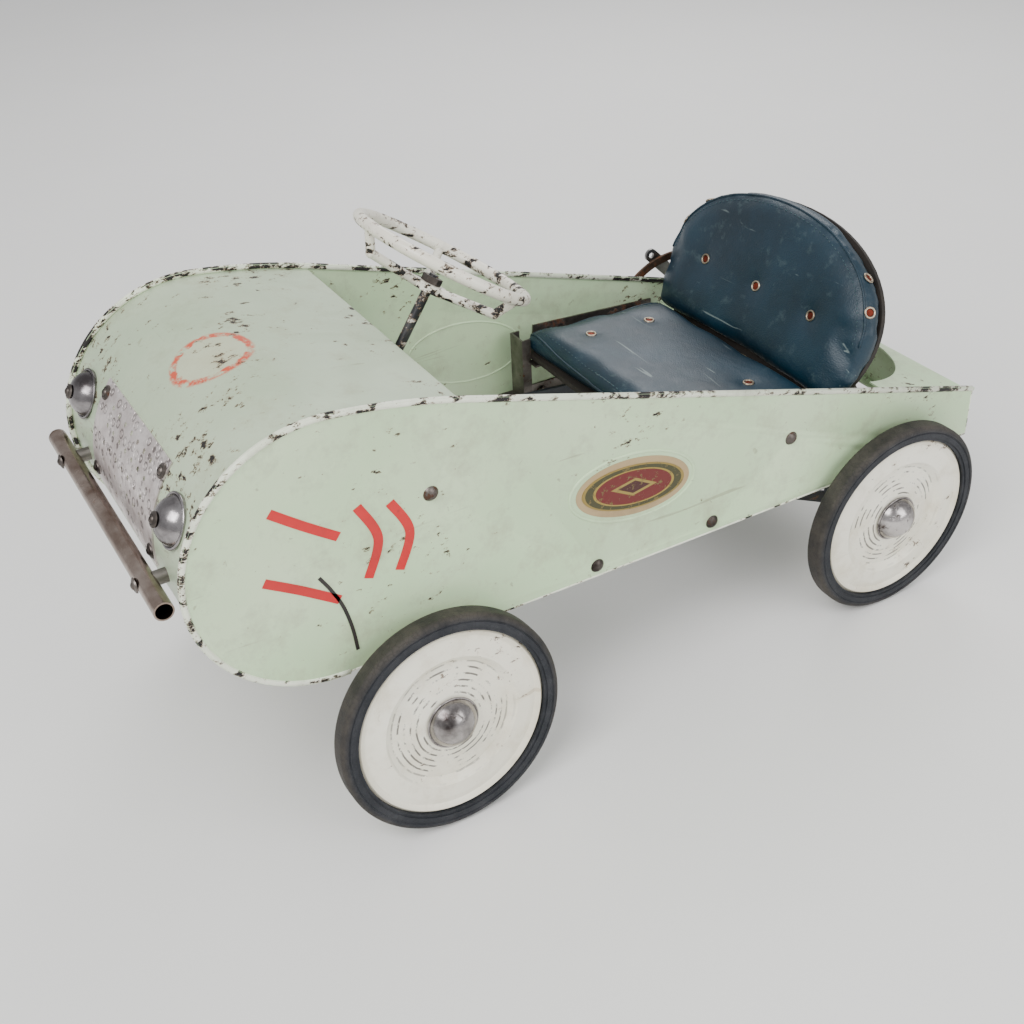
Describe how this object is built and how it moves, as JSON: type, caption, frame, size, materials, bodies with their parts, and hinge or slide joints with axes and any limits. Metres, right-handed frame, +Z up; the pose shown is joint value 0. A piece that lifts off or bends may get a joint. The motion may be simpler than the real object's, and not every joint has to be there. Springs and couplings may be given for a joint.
{
  "type": "pedal car",
  "caption": "Child-size vintage pedal car with a rounded steel body, dished wheels, crank drive, steering linkage, hand brake and padded seat",
  "frame": {"origin": "centre of the bounding box in plan, on the floor under the tyres", "axes": "+X is the car's left side, +Y the rear (the front faces -Y), +Z up"},
  "size_m": [0.4166, 0.8358, 0.469],
  "materials": {
    "mint_paint": "worn satin paint",
    "grille_metal": "dull pierced sheet",
    "screws": "dark oxidised",
    "lamp_chrome": "worn",
    "bumper_metal": "worn",
    "frame_steel": "oxidised",
    "bush_brass": "dull",
    "dark_steel": "chipped black",
    "board_wood": "plain",
    "vinyl": "soft vinyl",
    "eyelet_metal": "dull",
    "badge_enamel": "worn enamel",
    "rusty_strap": "rusty",
    "ring_paint": "chipped white",
    "wheel_paint": "worn gloss",
    "tyre_rubber": "dusty",
    "cap_chrome": "worn",
    "pedal_rubber": "worn"
  },
  "bodies": {
    "body": {"side_panel_left": "mint_paint", "side_panel_right": "mint_paint", "hood": "mint_paint", "grille": "grille_metal", "front_screws": "screws", "lamps": "lamp_chrome", "bumper": "bumper_metal", "bumper_spacers": "frame_steel", "rear_deck": "mint_paint", "tail_panel": "mint_paint", "chassis_rail_left": "frame_steel", "chassis_rail_right": "frame_steel", "front_cross_member": "frame_steel", "rear_cross_member": "frame_steel", "axle_hangers": "frame_steel", "axle_bushes": "bush_brass", "front_beam": "frame_steel", "beam_posts": "frame_steel", "kingpins": "dark_steel", "column_bracket": "frame_steel", "column_foot": "frame_steel", "pedal_bar": "frame_steel", "seat_uprights": "frame_steel", "seat_rails": "frame_steel", "seat_board": "board_wood", "back_board": "board_wood", "back_stays": "frame_steel", "seat_cushion": "vinyl", "back_cushion": "vinyl", "eyelets": "eyelet_metal", "side_bolts": "screws", "badges": "badge_enamel", "brake_quadrant": "rusty_strap"},
    "steering": {"steering_wheel": "ring_paint", "hub_nut": "screws", "steering_column": "dark_steel"},
    "tie_rod": {"tie_rod": "frame_steel"},
    "knuckle_left": {"stub_axle_left": "dark_steel"},
    "knuckle_right": {"stub_axle_right": "dark_steel"},
    "front_wheel_left": {"front_disc_left": "wheel_paint", "front_tyre_left": "tyre_rubber", "front_cap_left": "cap_chrome"},
    "front_wheel_right": {"front_disc_right": "wheel_paint", "front_tyre_right": "tyre_rubber", "front_cap_right": "cap_chrome"},
    "rear_axle": {"crank_axle": "dark_steel", "rear_discs": "wheel_paint", "rear_tyres": "tyre_rubber", "rear_caps": "cap_chrome"},
    "drive_rod_left": {"drive_rod_left": "dark_steel"},
    "drive_rod_right": {"drive_rod_right": "dark_steel"},
    "pedal_left": {"pedal_arm_left": "frame_steel", "pedal_pad_left": "pedal_rubber"},
    "pedal_right": {"pedal_arm_right": "frame_steel", "pedal_pad_right": "pedal_rubber"},
    "brake": {"brake_lever": "frame_steel", "brake_shoe": "pedal_rubber"}
  },
  "joints": [
    {"name": "steering_turn", "type": "hinge", "parent": "body", "child": "steering", "pos_m": [0, -0.08905, 0.42], "axis": [0, 0.5678, 0.8231], "range_deg": [-27, 27]},
    {"name": "tie_rod_slide", "type": "slide", "parent": "body", "child": "tie_rod", "axis": [1, 0, 0], "range_m": [-0.0058, 0.0058]},
    {"name": "knuckle_left_turn", "type": "hinge", "parent": "body", "child": "knuckle_left", "pos_m": [0.132, -0.20805, 0.10189], "axis": [0, 0, 1], "range_deg": [-8, 8]},
    {"name": "knuckle_right_turn", "type": "hinge", "parent": "body", "child": "knuckle_right", "pos_m": [-0.132, -0.20805, 0.10189], "axis": [0, 0, 1], "range_deg": [-8, 8]},
    {"name": "front_wheel_left_spin", "type": "hinge", "parent": "knuckle_left", "child": "front_wheel_left", "pos_m": [0.18631, -0.20805, 0.10189], "axis": [0.9925, 0, 0.1219], "continuous": true},
    {"name": "front_wheel_right_spin", "type": "hinge", "parent": "knuckle_right", "child": "front_wheel_right", "pos_m": [-0.18631, -0.20805, 0.10189], "axis": [0.9925, 0, -0.1219], "continuous": true},
    {"name": "rear_axle_spin", "type": "hinge", "parent": "body", "child": "rear_axle", "pos_m": [0, 0.30195, 0.102], "axis": [1, 0, 0], "continuous": true},
    {"name": "drive_rod_left_turn", "type": "hinge", "parent": "rear_axle", "child": "drive_rod_left", "pos_m": [0.094, 0.30195, 0.08], "axis": [1, 0, 0], "continuous": true},
    {"name": "drive_rod_right_turn", "type": "hinge", "parent": "rear_axle", "child": "drive_rod_right", "pos_m": [-0.094, 0.30195, 0.124], "axis": [1, 0, 0], "continuous": true},
    {"name": "pedal_left_swing", "type": "hinge", "parent": "body", "child": "pedal_left", "pos_m": [0.088, -0.19005, 0.303], "axis": [1, 0, 0], "range_deg": [-14, 14]},
    {"name": "pedal_right_swing", "type": "hinge", "parent": "body", "child": "pedal_right", "pos_m": [-0.088, -0.19005, 0.303], "axis": [1, 0, 0], "range_deg": [-14, 14]},
    {"name": "brake_pull", "type": "hinge", "parent": "body", "child": "brake", "pos_m": [-0.1615, 0.30395, 0.21643], "axis": [1, 0, 0], "range_deg": [-26, 0]}
  ],
  "couplings": [
    {"joint": "tie_rod_slide", "follows": "steering_turn", "m_per_rad": -0.012},
    {"joint": "knuckle_left_turn", "follows": "steering_turn", "ratio": 0.28571},
    {"joint": "knuckle_right_turn", "follows": "steering_turn", "ratio": 0.28571},
    {"joint": "drive_rod_left_turn", "follows": "rear_axle_spin", "ratio": -1},
    {"joint": "drive_rod_right_turn", "follows": "rear_axle_spin", "ratio": -1}
  ]
}
